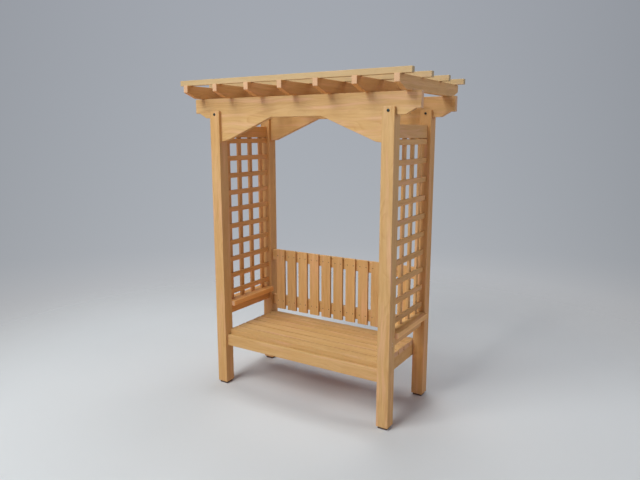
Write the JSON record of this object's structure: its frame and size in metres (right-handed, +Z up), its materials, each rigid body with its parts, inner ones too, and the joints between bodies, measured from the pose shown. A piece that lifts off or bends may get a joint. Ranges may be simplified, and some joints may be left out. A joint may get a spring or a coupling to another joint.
{
  "type": "arbor bench",
  "caption": "Timber garden arbor with a slatted bench, vertical-slat backrest, lattice sides and an open rafter-and-purlin roof.",
  "frame": {"origin": "on the ground under the middle of the plan", "axes": "+X along the seat, to the right as seen from the front; -Y out of the open front; +Z up"},
  "size_m": [1.86, 1.034, 2.404],
  "materials": {
    "post_timber": "planed cedar, unsealed matt, fine straight grain",
    "roof_timber": "planed cedar, unsealed matt, fine straight grain",
    "side_timber": "planed cedar, unsealed matt, fine straight grain",
    "seat_timber": "planed cedar, unsealed matt, fine straight grain",
    "foot_pad": "moulded black plastic, matt"
  },
  "bodies": {
    "root": {"feet": "foot_pad", "post_front_left": "post_timber", "post_front_right": "post_timber", "post_back_left": "post_timber", "post_back_right": "post_timber", "beam_front": "roof_timber", "beam_back": "roof_timber", "rafter_1": "roof_timber", "rafter_2": "roof_timber", "rafter_3": "roof_timber", "rafter_4": "roof_timber", "rafter_5": "roof_timber", "rafter_6": "roof_timber", "rafter_7": "roof_timber", "purlin_1": "roof_timber", "purlin_2": "roof_timber", "purlin_3": "roof_timber", "purlin_4": "roof_timber", "side_rail_left": "side_timber", "side_rail_right": "side_timber", "lattice_left": "side_timber", "lattice_right": "side_timber", "arm_left": "side_timber", "arm_right": "side_timber", "arm_rail_left": "side_timber", "arm_rail_right": "side_timber", "seat_apron_front": "seat_timber", "seat_apron_back": "seat_timber", "seat_rail_left": "seat_timber", "seat_rail_right": "seat_timber", "seat_slat_1": "seat_timber", "seat_slat_2": "seat_timber", "seat_slat_3": "seat_timber", "seat_slat_4": "seat_timber", "seat_slat_5": "seat_timber", "seat_slat_6": "seat_timber", "back_rail_upper": "seat_timber", "back_rail_lower": "seat_timber", "back_slats": "seat_timber"}
  },
  "joints": []
}
